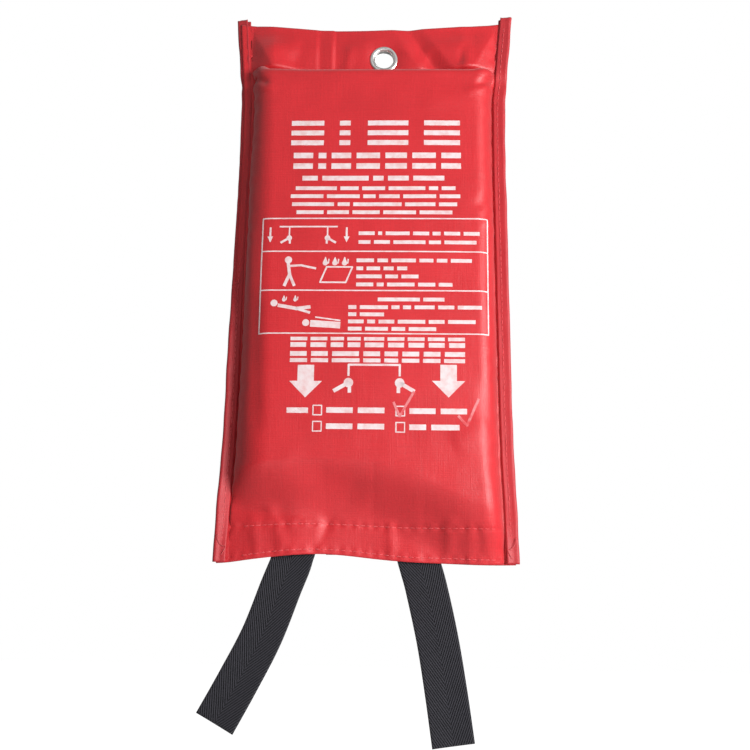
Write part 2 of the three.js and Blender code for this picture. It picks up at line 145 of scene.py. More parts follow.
def backwards(grid):
    """Unit vectors from front to back at every point of a grid that runs left to right, bottom to top."""
    across = np.gradient(grid, axis=0)
    up = np.gradient(grid, axis=1)
    square = np.cross(up, across)
    return square / np.maximum(np.linalg.norm(square, axis=2, keepdims=True), 1e-9)


def arc_uv(grid):
    """Distance along the cloth from the grid's middle row and column, in millimetres."""
    middle = grid[:, grid.shape[1] // 2]
    side = grid[grid.shape[0] // 2]
    u = np.concatenate([[0], np.cumsum(np.linalg.norm(np.diff(middle, axis=0), axis=1))])
    v = np.concatenate([[0], np.cumsum(np.linalg.norm(np.diff(side, axis=0), axis=1))])
    return np.stack(np.meshgrid(u, v, indexing="ij"), axis=2)


def thick_sheet(grid, thickness, keep=None):
    """Points, faces and uv of a closed sheet round a grid. keep marks the cells that hold cloth."""
    columns, rows = grid.shape[:2]
    if keep is None:
        keep = np.ones((columns - 1, rows - 1), bool)
    offset = backwards(grid) * (thickness / 2)
    points = np.concatenate([(grid - offset).reshape(-1, 3), (grid + offset).reshape(-1, 3)])
    uv = arc_uv(grid).reshape(-1, 2)
    index = np.arange(columns * rows).reshape(columns, rows)
    back = columns * rows
    a, b = index[:-1, :-1][keep], index[1:, :-1][keep]
    c, d = index[1:, 1:][keep], index[:-1, 1:][keep]
    faces = [np.stack([a, b, c, d], 1), np.stack([d, c, b, a], 1) + back]
    padded = np.pad(keep, 1)
    inner = padded[1:-1, 1:-1]
    for open_side, start, end in (
        (~padded[:-2, 1:-1], index[:-1, 1:], index[:-1, :-1]),
        (~padded[2:, 1:-1], index[1:, :-1], index[1:, 1:]),
        (~padded[1:-1, :-2], index[:-1, :-1], index[1:, :-1]),
        (~padded[1:-1, 2:], index[1:, 1:], index[:-1, 1:]),
    ):
        rim = inner & open_side
        s, e = start[rim], end[rim]
        faces.append(np.stack([s, s + back, e + back, e], 1))
    return points, np.concatenate(faces), np.concatenate([uv, uv])


# ------------ the front's shape
FOLD = -flange_high[2] - 2.2  # the header meets the pack just under the eyelet
DOME_BOTTOM = FOLD - 6.6
DEPTH_TOP = 15.4
DEPTH_LOW = 20.4
KNEE = -228.0
HEM_LINE = MOUTH + 20.5
HEM_DEPTH = 2.6
BASE = 0.45  # the front layer's middle, in front of y = 0, where it lies on the back
HEADER_TOP = 21.0
HEADER_RISE = 5.5

# where the bulge's slope down to the hem starts and ends, from left to right
SLOPE_X = [-84, -60, -25, 5, 35, 62, 82]
SLOPE_START = [-275, -271, -268, -270, -280, -292, -297]
SLOPE_END = [-300, -304, -308, -312, -321, -337, -342]


def body_depth(z):
    """Depth of the bulge where it is full."""
    share = np.clip((z - KNEE) / (DOME_BOTTOM - KNEE), 0, 1)
    return DEPTH_LOW + (DEPTH_TOP - DEPTH_LOW) * share


def hem_depth(x):
    """How far the hem stands off the back: more where the tapes run out under it."""
    tapes = 2.0 * bell(x + 42, 13) + 1.2 * bell(x - 32, 14)
    return HEM_DEPTH + tapes + 1.6 * bell(x - 66, 16) - 1.2 * bell(x + 80, 9)


def front_depth(x, z):
    start = np.interp(x, SLOPE_X, SLOPE_START)
    end = np.interp(x, SLOPE_X, SLOPE_END)
    share = np.clip((start - z) / (start - end), 0, 1)
    down = smooth(share) * 0.7 + smooth(share**0.7) * 0.3
    crown = 1 - 0.035 * (x / 75) ** 2
    full = body_depth(z) * crown
    low = hem_depth(x) + 0.8 * bell(z - HEM_LINE, 9)
    return full + (low - full) * down


def edge_width(z, side):
    """Width of the bulge's rounded side: broad and soft on the left, tight on the right."""
    if side < 0:
        return np.interp(z, [MOUTH, -290, -250, -120, -15], [26, 24, 22, 18, 15])
    return np.interp(z, [MOUTH, -290, -150, -15], [14, 13, 12, 12])


# across the header, at its top edge and at the fold: where it swells and where it is creased
SWELL_TOP = [-84, -66, -38, -36, -27, -25.5, 12, 23.5, 34, 58, 67, 84]
SWELL_FOLD = [-84, -66, -38, -36, -27, -25.5, 33, 44.5, 56, 62, 70, 84]
SWELL = [0, 5.0, 1.8, 0.7, 1.5, 0.0, 4.6, 0.3, 4.8, 5.0, 2.4, 0]


def header_swells(x, level):
    """The header's layers part a little between sharp creases, most at the top edge."""
    height = np.zeros_like(x + level)
    knots = [low + (top - low) * level for low, top in zip(SWELL_FOLD, SWELL_TOP)]
    for near, far, start, end in zip(knots[:-1], knots[1:], SWELL[:-1], SWELL[1:]):
        share = (x - near) / (far - near)
        step = start + (end - start) * (share + smooth(share)) / 2
        height += np.where((share >= 0) & (share < 1), step, 0)
    flatter_top = 1 - 0.65 * smooth((level - 0.5) / 0.5)
    return height * (0.75 + 0.25 * smooth(level * 1.3)) * flatter_top


def header_buckle(x, z):
    """The header's pleats and corner facets, as height towards the front."""
    level = np.clip((z - FOLD) / (HEADER_TOP - FOLD), 0, 1.2)
    shape = np.zeros_like(x + z)
    for side, reach, far in ((-1, 17, 81), (1, 16, 81)):
        ridge = far - reach * (1 - level)
        inward = ridge - x * side
        facet = np.clip((far - x * side) / np.maximum(far - ridge, 0.8), 0, 1)
        shape = shape + (1 - level) * 5.2 * np.where(inward > 0, bell(inward, 13), facet)
    shape += header_swells(x, level)
    shape += 0.5 * soft_noise(x, z, 34, 5)
    flat_ring = bell(np.hypot(x - EYELET_X, z), 11)
    return shape * (1 - flat_ring) * smooth((z - FOLD) / 4.5)


def fold_line(x, z, ax, az, bx, bz, width, height):
    """A soft ridge along the line from a to b, fading at both ends."""
    along = np.array([bx - ax, bz - az], float)
    length = np.hypot(*along)
    along /= length
    t = ((x - ax) * along[0] + (z - az) * along[1]) / length
    off = (x - ax) * -along[1] + (z - az) * along[0]
    return height * bell(off, width) * smooth(t * 4) * smooth((1 - t) * 4)


# soft ridges and valleys of the front: start, end, width and height
FRONT_FOLDS = [
    (-78, -60, -73, -190, 3.2, 0.8),
    (-72, -150, -66, -262, 4.5, -0.9),
    (70, -215, 78, -292, 5, -0.8),
    (50, -262, 76, -246, 7, 0.7),
    (28, -40, 74, -30, 8, 0.45),
    (-60, -34, 10, -38, 7, -0.35),
    (-60, -292, -48, -326, 4, 0.9),
    (-31, -298, -27, -328, 4.0, 0.55),
    (-19, -300, -33, -329, 3.6, -0.9),
    (14, -303, 17, -329, 3.5, 0.8),
    (52, -300, 50, -329, 4, 0.7),
    (67, -306, 69, -330, 3, -0.6),
    (-70, -300, -64, -330, 3, 0.6),
    (-48, -268, 2, -296, 10, -0.9),
    (-85, -13, -66, -25, 2.2, -1.3),
    (-84, -20, -60, -30, 3.0, 0.5),
    (85, -15, 66, -27, 2.4, -1.3),
    (84, -22, 58, -33, 3.0, 0.5),
    (79, -96, 66, -112, 3.5, -0.7),
    (81, -124, 70, -118, 3.0, 0.5),
    (-18, -10, -14, 12, 3.5, 0.7),
    (4, -9, -2, 14, 4.0, -0.5),
    (31, -8, 38, 10, 4.0, 0.6),
    (56, -9, 62, 12, 3.0, -0.7),
    (-52, -8, -46, 16, 4.0, -0.6),
]


def front_relief(x, z):
    """Everything that the cloth does on top of the plain bulge, towards the front."""
    relief = header_buckle(x, z)
    on_bulge = smooth((FOLD - 6 - z) / 14)
    relief += on_bulge * (0.55 * soft_noise(x, z, 70, 11) + 0.12 * soft_noise(x, z, 17, 3))
    for fold in FRONT_FOLDS:
        relief += fold_line(x, z, *fold)
    hem_zone = smooth((HEM_LINE + 16 - z) / 14)
    relief += hem_zone * 0.35 * soft_noise(x, z * 0.5, 13, 21)
    pucker = np.sin(x * 2 * math.pi / 7.5 + 1.3 * np.sin(x / 11))
    hem_rows = bell(z - hem_row(x, HEM_LINE), 2.2) + bell(z - hem_row(x, MOUTH + 3), 2.2)
    relief += 0.22 * pucker * hem_rows - 0.3 * bell(z - hem_row(x, HEM_LINE), 1.1)
    near_seam = bell(np.abs(x) - seam(z), 5)
    relief += near_seam * (0.5 * soft_noise(np.sign(x) * 60, z, 13, 33) - 0.3)
    return relief


def mouth_rise(x, z):
    """The mouth's edge is drawn up a little over the left tape and droops at its ends."""
    drawn = 4.6 * bell(x + 28, 38) - 1.6 * bell(x + 90, 18) - 0.6 * bell(x - 74, 24)
    return drawn * smooth((HEM_LINE + 14 - z) / 30)


def corner_lift(x, z):
    """The fold's ends are drawn up to the bindings, so that the pack's top corners are square."""
    ends = 1.2 * smooth((-x - 40) / 36) + 1.2 * smooth((-x - 66) / 8) + 1.3 * smooth((x - 64) / 10)
    return ends * bell(z - FOLD + 1, 9)


def hem_row(x, z):
    return z + mouth_rise(x, z)


FLAT_CELLS = 132
SIDE_CELLS = 20
FLANGE_CELLS = 6


def section_columns():
    """One entry for each column: (part of the section, share along it)."""
    turns = [k / SIDE_CELLS for k in range(1, SIDE_CELLS + 1)]
    flange = [k / FLANGE_CELLS for k in range(1, FLANGE_CELLS + 1)]
    left = [("flange", -g) for g in reversed(flange)] + [("side", -t) for t in reversed(turns)]
    flat = [("flat", k / FLAT_CELLS) for k in range(FLAT_CELLS + 1)]
    right = [("side", t) for t in turns] + [("flange", g) for g in flange]
    return left + flat + right


def front_rows():
    """Heights of the rows from the mouth to the header's top, with the share of the depth at each."""
    body = [(z, 1.0) for z in np.arange(MOUTH, DOME_BOTTOM, 1.15)]
    steps = 12
    dome = []
    for k in range(steps + 1):
        turn = (1 - k / steps) * math.pi / 2
        height = FOLD - (FOLD - DOME_BOTTOM) * (1 - math.cos(turn) ** 0.75)
        dome.append((height, math.sin(turn) ** 0.75))
    header = [(z, 0.0) for z in np.linspace(FOLD, HEADER_TOP, 34)[1:]]
    return body + dome + header


def front_grid():
    """The front cloth's middle surface, from the mouth over the pack into the header."""
    columns = section_columns()
    rows = front_rows()
    grid = np.zeros((len(columns), len(rows), 3))
    z = np.array([row[0] for row in rows])
    share = np.array([row[1] for row in rows])
    left = -(seam(z) - edge_width(z, -1))
    right = seam(z) - edge_width(z, 1)
    for i, (part, at) in enumerate(columns):
        side = math.copysign(1, at)
        if part == "flat":
            x, round_share = left + (right - left) * at, 1.0
        elif part == "side":
            turn = abs(at) * math.pi / 2
            square = 1.0 if side < 0 else 0.9
            x = np.where(side < 0, left, right) + side * edge_width(z, side) * math.sin(turn) ** square
            round_share = math.cos(turn) ** square
        else:
            x = side * (seam(z) + abs(at) * (BINDING - 2.2))
            round_share = 0.0
        grid[i, :, 0] = x
        grid[i, :, 1] = -BASE - share * round_share * front_depth(x, z)
        grid[i, :, 2] = z + mouth_rise(x, z) + corner_lift(x, z)
    rise = HEADER_RISE * (grid[..., 0] / 90) ** 2
    level = np.clip((z - FOLD) / (HEADER_TOP - FOLD), 0, 1)
    grid[..., 2] += rise * level
    x, z_now = grid[..., 0], grid[..., 2]
    inside = np.array([0.15 if part == "flange" else 1.0 for part, _ in columns])[:, None]
    grid -= backwards(grid) * (front_relief(x, z_now) * inside)[..., None]
    behind = grid[..., 1] > -0.3
    grid[..., 1] = np.where(behind, -0.3, grid[..., 1])
    return grid


FRONT_GRID = front_grid()
FRONT_FACE = FRONT_GRID - backwards(FRONT_GRID) * (FABRIC / 2)
ROW_HEIGHTS = np.array([row[0] for row in front_rows()])


def front_y(x, z):
    """Depth of the front cloth's outer face at each point, for what lies on it."""
    place = np.interp(z - mouth_rise(x, z), ROW_HEIGHTS, np.arange(len(ROW_HEIGHTS)))
    depth = np.zeros(len(x))
    for n, (across, row) in enumerate(zip(x, place)):
        low = min(int(row), len(ROW_HEIGHTS) - 2)
        near = np.interp(across, FRONT_FACE[:, low, 0], FRONT_FACE[:, low, 1])
        far = np.interp(across, FRONT_FACE[:, low + 1, 0], FRONT_FACE[:, low + 1, 1])
        depth[n] = near + (far - near) * (row - low)
    return depth


# ------------ materials
YARN_PITCH = 0.62  # the coated cloth's yarns


class Nodes:
    """A small helper that adds nodes to one material and links them."""

    def __init__(self, name):
        self.material = bpy.data.materials.new(name)
        self.material.use_nodes = True
        self.tree = self.material.node_tree
        self.shader = self.tree.nodes["Principled BSDF"]

    def add(self, kind, inputs=None, **settings):
        node = self.tree.nodes.new(kind)
        for key, value in settings.items():
            setattr(node, key, value)
        for key, value in (inputs or {}).items():
            if isinstance(value, bpy.types.NodeSocket):
                self.tree.links.new(value, node.inputs[key])
            else:
                node.inputs[key].default_value = value
        return node

    def math(self, operation, a, b=0.0, c=0.5):
        return self.add("ShaderNodeMath", {0: a, 1: b, 2: c}, operation=operation).outputs[0]

    def noise(self, place, scale, detail):
        inputs = {"Vector": place, "Scale": scale, "Detail": detail}
        return self.add("ShaderNodeTexNoise", inputs).outputs[0]

    def mixed(self, *parts):
        """The sum of (value, weight) pairs."""
        total = None
        for value, weight in parts:
            part = self.math("MULTIPLY", value, weight)
            total = part if total is None else self.math("ADD", total, part)
        return total

    def place(self):
        return self.add("ShaderNodeTexCoord").outputs["Object"]

    def link(self, socket, name):
        self.tree.links.new(socket, self.shader.inputs[name])

    def set(self, **values):
        for key, value in values.items():
            self.shader.inputs[key.replace("_", " ")].default_value = value

    def uv(self):
        node = self.add("ShaderNodeUVMap", uv_map="cloth")
        split = self.add("ShaderNodeSeparateXYZ", {0: node.outputs[0]})
        return node.outputs[0], split.outputs[0], split.outputs[1]

    def ramp(self, factor, stops):
        node = self.add("ShaderNodeValToRGB", {0: factor})
        elements = node.color_ramp.elements
        while len(elements) < len(stops):
            elements.new(0.5)
        for element, (place, colour) in zip(elements, stops):
            element.position = place
            element.color = (*colour, 1)
        return node.outputs[0]

    def bump(self, height, strength, distance, under=None):
        inputs = {"Height": height, "Strength": strength, "Distance": distance}
        if under is not None:
            inputs["Normal"] = under
        return self.add("ShaderNodeBump", inputs).outputs[0]


def ribs(nodes, coordinate, pitch):
    """A rounded wave of one rib for each pitch millimetres, from 0 to 1."""
    angle = nodes.math("MULTIPLY", coordinate, 2 * math.pi / pitch)
    return nodes.math("MULTIPLY_ADD", nodes.math("SINE", angle), 0.5)


def plain_weave(nodes, u, v):
    return nodes.math("MULTIPLY", ribs(nodes, u, YARN_PITCH), ribs(nodes, v, YARN_PITCH))


def coated_cloth(name, light, dark, roughness=0.47):
    """Plain-woven polyester under a thin PVC coat: fine yarns, soft mottling and rubbed high spots."""
    nodes = Nodes(name)
    uv, u, v = nodes.uv()
    weave = plain_weave(nodes, u, v)
    yarns = []
    for stretch in ((1.5, 0.045, 1), (0.045, 1.5, 1)):
        drawn = nodes.add("ShaderNodeMapping", {"Vector": uv, "Scale": stretch}).outputs[0]
        yarns.append(nodes.noise(drawn, 1.0, 3.0))
    yarn = nodes.math("ADD", *yarns)
    slub = nodes.noise(uv, 0.8, 3.0)
    mottle = nodes.noise(uv, 0.03, 4.0)
    tone = nodes.mixed((mottle, 0.3), (slub, 0.2), (weave, 0.08), (yarn, 0.2))
    nodes.link(nodes.ramp(tone, [(0.27, dark), (0.62, light)]), "Base Color")
    nodes.link(nodes.math("MULTIPLY_ADD", mottle, 0.16, roughness - 0.08), "Roughness")
    soft = nodes.bump(slub, 0.18, 0.0005)
    coarse = nodes.bump(yarn, 0.3, 0.00035, soft)
    nodes.link(nodes.bump(weave, 0.3, 0.00015, coarse), "Normal")
    nodes.set(Specular_IOR_Level=0.6, Sheen_Weight=0.2, Sheen_Roughness=0.5)
    return nodes.material


def sewing_thread(name, colour, shade):
    nodes = Nodes(name)
    _, u, v = nodes.uv()
    twist = ribs(nodes, nodes.math("ADD", u, v), 0.5)
    nodes.link(nodes.ramp(twist, [(0.0, shade), (1.0, colour)]), "Base Color")
    nodes.link(nodes.bump(twist, 0.5, 0.0001), "Normal")
    nodes.set(Roughness=0.6, Sheen_Weight=0.3)
    return nodes.material


def herringbone(name, width):
    """Black webbing in herringbone twill: slanting ribs that meet along the middle."""
    nodes = Nodes(name)
    uv, u, v = nodes.uv()
    zigzag = nodes.math("PINGPONG", u, width / 2)
    slant = nodes.math("ADD", v, nodes.math("MULTIPLY", zigzag, 1.9))
    rib = ribs(nodes, slant, 2.8)
    yarn = ribs(nodes, u, 0.55)
    fuzz = nodes.noise(uv, 2.4, 4.0)
    wear = nodes.noise(uv, 0.12, 3.0)
    tone = nodes.mixed((rib, 0.7), (fuzz, 0.15), (wear, 0.2))
    nodes.link(nodes.ramp(tone, [(0.2, (0.005, 0.005, 0.008)), (0.85, (0.03, 0.028, 0.037))]), "Base Color")
    coarse = nodes.bump(rib, 1.0, 0.0005)
    nodes.link(nodes.bump(nodes.math("ADD", yarn, fuzz), 0.2, 0.0001, coarse), "Normal")
    nodes.set(Roughness=0.75, Sheen_Weight=0.12, Sheen_Roughness=0.45, Specular_IOR_Level=0.35)
    return nodes.material


def nickel(name):
    nodes = Nodes(name)
    place = nodes.place()
    scratch = nodes.noise(place, 900.0, 4.0)
    cloud = nodes.noise(place, 140.0, 3.0)
    nodes.link(nodes.ramp(cloud, [(0.3, (0.78, 0.77, 0.75)), (0.7, (0.94, 0.93, 0.91))]), "Base Color")
    nodes.link(nodes.math("MULTIPLY_ADD", scratch, 0.2, 0.24), "Roughness")
    nodes.link(nodes.bump(scratch, 0.12, 0.00005), "Normal")
    nodes.set(Metallic=1.0)
    return nodes.material


def glass_cloth(name):
    """Satin-woven glass fibre: broad flat yarns that shine along their length."""
    nodes = Nodes(name)
    uv, u, v = nodes.uv()
    weave = nodes.mixed((ribs(nodes, u, 1.4), 0.6), (ribs(nodes, v, 1.4), 0.4))
    tone = nodes.mixed((weave, 0.5), (nodes.noise(uv, 0.06, 5.0), 0.5))
    nodes.link(nodes.ramp(tone, [(0.2, (0.62, 0.6, 0.54)), (0.8, (0.86, 0.84, 0.79))]), "Base Color")
    nodes.link(nodes.bump(weave, 0.6, 0.0003), "Normal")
    nodes.set(Roughness=0.5, Sheen_Weight=0.2)
    return nodes.material


def printed_ink(name, worn, solid, coverage):
    """Ink on the coat: slightly worn, with the weave showing through."""
    nodes = Nodes(name)
    _, u, v = nodes.uv()
    weave = plain_weave(nodes, u, v)
    tone = nodes.mixed((nodes.noise(nodes.place(), 260.0, 5.0), 0.7), (weave, 0.2))
    nodes.link(nodes.ramp(tone, [(coverage - 0.2, worn), (coverage, solid)]), "Base Color")
    nodes.link(nodes.bump(weave, 0.4, 0.0002), "Normal")
    nodes.set(Roughness=0.5, Specular_IOR_Level=0.4)
    return nodes.material


def hook_and_loop(name):
    nodes = Nodes(name)
    tufts = nodes.add("ShaderNodeTexVoronoi", {"Vector": nodes.place(), "Scale": 1400.0})
    tuft = tufts.outputs["Distance"]
    nodes.link(nodes.ramp(tuft, [(0.1, (0.3, 0.03, 0.035)), (0.7, (0.12, 0.01, 0.014))]), "Base Color")
    nodes.link(nodes.bump(tuft, 0.8, 0.0004), "Normal")
    nodes.set(Roughness=0.85, Sheen_Weight=0.4)
    return nodes.material


RED_CLOTH = coated_cloth("red_coated_cloth", (0.66, 0.010, 0.018), (0.47, 0.006, 0.011))
# The binding is the same red cloth as the pouch, only rougher; its darker colours are painted shade.
BINDING_CLOTH_PAINTED_SHADE = coated_cloth("binding_cloth", (0.52, 0.012, 0.02), (0.36, 0.006, 0.012), 0.56)
# The red thread's colours are painted lighter than the cloth it is sewn into: painted highlight along the
# stitches and loose ends.
RED_THREAD_PAINTED_HIGHLIGHT = sewing_thread("red_thread", (0.85, 0.12, 0.13), (0.62, 0.04, 0.05))
WHITE_THREAD = sewing_thread("white_thread", (0.85, 0.84, 0.8), (0.5, 0.5, 0.48))
NICKEL = nickel("nickel_plate")
GLASS = glass_cloth("glass_fibre_cloth")
INK = printed_ink("white_print", (0.74, 0.46, 0.46), (0.8, 0.68, 0.69), 0.45)
CHALK = printed_ink("pen_marks", (0.68, 0.06, 0.07), (0.74, 0.26, 0.27), 0.5)
PATCH = hook_and_loop("hook_and_loop")


# ------------ pouch cloth
def clear_of_eyelet(grid):
    """Cells of a grid that lie outside the eyelet's hole."""
    centre = (grid[:-1, :-1] + grid[1:, 1:]) / 2
    return np.hypot(centre[..., 0] - EYELET_X, centre[..., 2]) > 7.2


def front_cloth():
    grid = FRONT_GRID
    points, faces, uv = thick_sheet(grid, FABRIC, clear_of_eyelet(grid))
    piece = make_piece("front_cloth", points, faces, uv, RED_CLOTH, "pouch")
    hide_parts("front_panel", "front_hem")


def back_cloth():
    """The back hangs flat: the pack presses its middle out a little and its hem lies double."""
    u = np.linspace(-1, 1, 130)
    v = np.linspace(0, 1, 250)
    grid = np.zeros((len(u), len(v), 3))
    for j, share in enumerate(v):
        z = MOUTH + (HEADER_TOP - MOUTH) * share
        x = u * (half_width(z) - 1.9)
        top = HEADER_RISE * (x / 90) ** 2 * smooth((z - FOLD) / (HEADER_TOP - FOLD))
        pressed = smooth((seam(z) - 5 - np.abs(x)) / 9)
        pressed *= smooth((DOME_BOTTOM - z) / 9) * smooth((z - HEM_LINE) / 12)
        ripple = 0.25 * soft_noise(x, z, 26, 31) + 0.3 * soft_noise(x, z, 70, 8)
        pull = 0.12 * np.sin(z * 2 * math.pi / 12) * bell(np.abs(x) - seam(z), 6)
        near_eyelet = bell(np.hypot(x - EYELET_X, z), 12)
        height = z + top + 1.15 * mouth_rise(x, z)
        depth = BASE + 0.35 * pressed + (ripple + pull) * (1 - near_eyelet)
        grid[:, j] = np.stack([x, depth, height], 1)
    points, faces, uv = thick_sheet(grid, FABRIC, clear_of_eyelet(grid))
    piece = make_piece("back_cloth", points, faces, uv, RED_CLOTH, "pouch")
    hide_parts("back_panel")


def binding_tilt(z, side):
    """How far, in radians, the binding leans back from the seam towards its outer edge."""
    kink = bell(z + 17, 5) * 0.2
    lower = smooth((-120 - z) / 120)
    if side < 0:
        return 0.24 + kink - 0.62 * lower
    return kink - 0.12 + 0.1 * lower


def binding_point(side, z, inward, y):
    """A point of the binding's section: inward from its outer edge, y from its middle."""
    lean = binding_tilt(z, side)
    reach = BINDING - inward
    x = seam(z) + reach * np.cos(lean) - y * np.sin(lean)
    return side * x, y * np.cos(lean) + reach * np.sin(lean)


def binding(name, side):
    """A strip folded round the seam: rear leg, rounded fold at the outer edge, front leg."""
    leg = 1.35
    section = [(BINDING - 0.3 - k, leg) for k in np.linspace(0, BINDING - 1.6, 8)]
    section += [(1.3 - 1.3 * math.sin(t), leg * math.cos(t)) for t in np.linspace(0.25, math.pi - 0.25, 7)]
    section += [(1.4 + k, -leg) for k in np.linspace(0, BINDING - 3.0, 8)]
    heights = np.linspace(binding_low[2] - (1.8 if side < 0 else 0.8), EAR, 330)
    grid = np.zeros((len(section), len(heights), 3))
    for i, (inward, y) in enumerate(section):
        worn = 0.25 * soft_noise(inward * 3 + side * 40, heights, 16, 41)
        pucker = 0.4 * soft_noise(side * 55, heights, 8, 83)
        squeeze = bell(inward - BINDING / 2, 2.5) * np.sign(y) * 0.35
        open_ear = smooth((heights - HEADER_TOP) / 8) * 0.25 * np.sign(y)
        flare = smooth((binding_low[2] + 26 - heights) / 24) * smooth((inward - 2) / 5)
        flare *= -1.1 if y < 0 else 0.1
        edge_wave = 0.35 * soft_noise(side * 90, heights, 23, 47) * smooth((2.5 - inward) / 2)
        x, depth = binding_point(side, heights, inward - edge_wave, y + (worn + pucker) * 0.5 * np.sign(y))
        grid[i, :, 0] = x
        grid[i, :, 1] = depth - squeeze + open_ear + flare
        cut = 0.5 * soft_noise(inward * 4, side * 17, 9, 43)
        grid[i, :, 2] = heights + cut * smooth((heights - EAR + 3) / 3)
    if side > 0:
        grid = grid[::-1]
    points, faces, uv = thick_sheet(grid, FABRIC)
    piece = make_piece(name, points, faces, uv, BINDING_CLOTH_PAINTED_SHADE, "pouch")
    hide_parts(name.replace("_cloth", ""))


# ------------ stitches
STITCH_RINGS = 5
STITCH_SIDES = 6
FORWARDS = (0.0, -1.0, 0.0)


def stitch_mesh(starts, ends, outwards, radius, arch):
    """One small bent capsule for each stitch, from start to end, bowed outwards in its middle."""
    along = ends - starts
    length = np.linalg.norm(along, axis=1, keepdims=True)
    along = along / length
    sideways = np.cross(along, outwards)
    rings = []
    for t in np.linspace(0, 1, STITCH_RINGS):
        centre = starts + (ends - starts) * t + outwards * (arch * math.sin(math.pi * t))
        girth = radius * (0.35 + 0.65 * math.sin(math.pi * min(max(t, 0.06), 0.94)) ** 0.5)
        for k in range(STITCH_SIDES):
            angle = 2 * math.pi * k / STITCH_SIDES
            rings.append(centre + girth * (math.cos(angle) * sideways + math.sin(angle) * outwards))
    points = np.stack(rings, 1)
    count = STITCH_RINGS * STITCH_SIDES
    template = []
    for r in range(STITCH_RINGS - 1):
        for k in range(STITCH_SIDES):
            a = r * STITCH_SIDES + k
            b = r * STITCH_SIDES + (k + 1) % STITCH_SIDES
            template.append((a, b, b + STITCH_SIDES, a + STITCH_SIDES))
    caps = [tuple(range(STITCH_SIDES))[::-1], tuple(range(count - STITCH_SIDES, count))]
    faces = []
    for n in range(len(points)):
        faces += [tuple(i + n * count for i in face) for face in template + caps]
    t = np.tile(np.repeat(np.linspace(0, 1, STITCH_RINGS), STITCH_SIDES), len(points))
    k = np.tile(np.tile(np.arange(STITCH_SIDES) / STITCH_SIDES, STITCH_RINGS), len(points))
    return points.reshape(-1, 3), faces, np.stack([t * 3, k], 1)


def stitch_row(name, route, outwards, replaced, on_blanket=False, tail=None):
    """A row of stitches along a route of closely spaced points. outwards is one direction or one for each.

    tail is a loose end of thread, followed without gaps.
    """
    outwards = np.broadcast_to(outwards, route.shape)
    length, gap = (2.6, 0.8) if on_blanket else (2.9, 0.9)
    steps = np.concatenate([[0], np.cumsum(np.linalg.norm(np.diff(route, axis=0), axis=1))])
    starts = np.arange(0, steps[-1] - length, length + gap)

    def at(distance, values):
        return np.stack([np.interp(distance, steps, values[:, n]) for n in range(3)], 1)

    middle = at(starts + length / 2, outwards)
    middle /= np.linalg.norm(middle, axis=1, keepdims=True)
    lift = middle * 0.06
    from_points, to_points = at(starts, route) + lift, at(starts + length, route) + lift
    if tail is not None:
        from_points = np.concatenate([from_points, tail[:-1]])
        to_points = np.concatenate([to_points, tail[1:]])
        middle = np.concatenate([middle, np.tile(outwards[0], (len(tail) - 1, 1))])
    points, faces, uv = stitch_mesh(from_points, to_points, middle, 0.22, 0.13)
    if on_blanket:
        piece = make_piece(name, points, faces, uv, WHITE_THREAD, "blanket")
    else:
        piece = make_piece(name, points, faces, uv, RED_THREAD_PAINTED_HIGHLIGHT, "pouch")
    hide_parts(*replaced)


def thread_tail(side):
    """The seam thread's loose end: a short curl lying on the binding's lower corner."""
    t = np.linspace(0, 1, 40)
    z = binding_low[2] + 2.5 + 17 * t * (1 - 0.35 * t) + 1.5 * np.sin(t * 9)
    inward = 4.5 + 3.0 * np.sin(t * 5.5) * (1 - 0.4 * t) - 1.5 * t
    x, y = binding_point(side, z, inward, -2.35)
    return np.stack([x, y - 0.35 * np.sin(t * math.pi), z], 1)


def seam_stitches(name, side):
    heights = np.linspace(binding_low[2] + 3, EAR - 4, 500)
    wander = 0.35 * soft_noise(heights, 0, 30, 71)
    x, y = binding_point(side, heights, BINDING / 2 + wander, -1.28)
    route = np.stack([x, y, heights], 1)
    lean = binding_tilt(heights, side)
    outwards = np.stack([side * np.sin(lean), -np.cos(lean), 0 * heights], 1)
    replaced = [name.replace("stitches", "thread")]
    stitch_row(name, route, outwards, replaced, tail=thread_tail(side))


def hem_stitches(name, height, replaced):
    reach = seam(height) - 9
    x = np.linspace(-reach, reach + 4, 500)
    z = hem_row(x, height) + 0.25 * soft_noise(x, 0, 25, 77)
    route = np.stack([x, front_y(x, z) + 0.02, z], 1)
    stitch_row(name, route, (0.0, -1.0, 0.15), [replaced])


def back_hem_stitches():
    reach = seam(HEM_LINE) - 3
    x = np.linspace(-reach, reach, 400)
    route = np.stack([x, np.full_like(x, BASE + FABRIC / 2), np.full_like(x, HEM_LINE)], 1)
    stitch_row("back_hem_stitches", route, (0.0, 1.0, 0.0), ["back_hem_thread"])


# ------------ eyelet
def turned(name, profile, replaced):
    """A ring turned about the eyelet's axis from a closed profile of (radius, y)."""
    sides = 96
    radius, y = np.array(profile).T
    points = []
    for angle in np.arange(sides) * 2 * math.pi / sides:
        points.append(np.stack([EYELET_X + radius * math.cos(angle), y, radius * math.sin(angle)], 1))
    count = len(profile)
    faces = []
    for s in range(sides):
        t = (s + 1) % sides
        for k in range(count):
            m = (k + 1) % count
            faces.append((s * count + k, t * count + k, t * count + m, s * count + m))
    piece = make_piece(name, np.concatenate(points), faces, None, NICKEL, "pouch")
    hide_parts(replaced)


def arc(centre, reach, start, end, count):
    """Points of a profile on an ellipse about centre, between two angles."""
    return [
        (centre[0] + reach[0] * math.cos(t), centre[1] + reach[1] * math.sin(t))
        for t in np.linspace(start, end, count)
    ]


